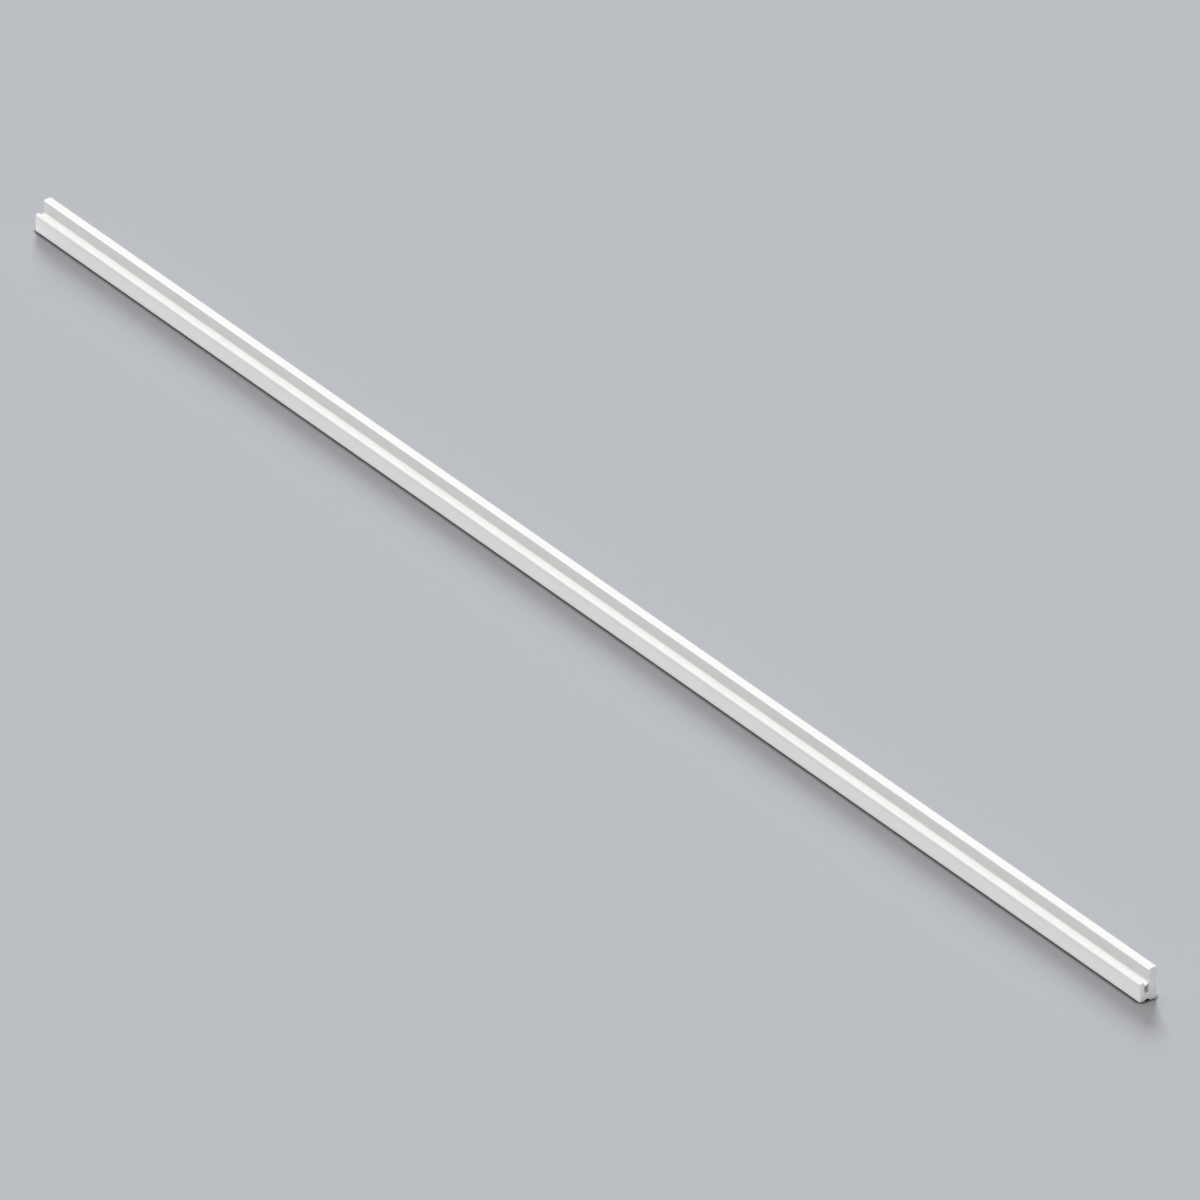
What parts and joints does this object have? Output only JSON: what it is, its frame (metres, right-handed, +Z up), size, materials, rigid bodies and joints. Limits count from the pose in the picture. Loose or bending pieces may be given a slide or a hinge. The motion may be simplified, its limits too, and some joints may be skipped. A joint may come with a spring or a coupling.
{
  "type": "divider moulding",
  "caption": "Straight length of white foamed plastic divider moulding with a rebate behind a crowned front lip, a hollow chamber and a relieved underside.",
  "frame": {"origin": "middle of the length and of the depth, on the plane of the two feet that the stock lies on", "axes": "+X along the length, +Y from the front face towards the flat back of the web, +Z up from the feet to the top of the web"},
  "size_m": [2.4384, 0.023, 0.0413],
  "materials": {
    "foamed_pvc": "satin white extruded skin, sawn matte ends"
  },
  "bodies": {
    "root": {"divider_moulding": "foamed_pvc"}
  },
  "joints": []
}
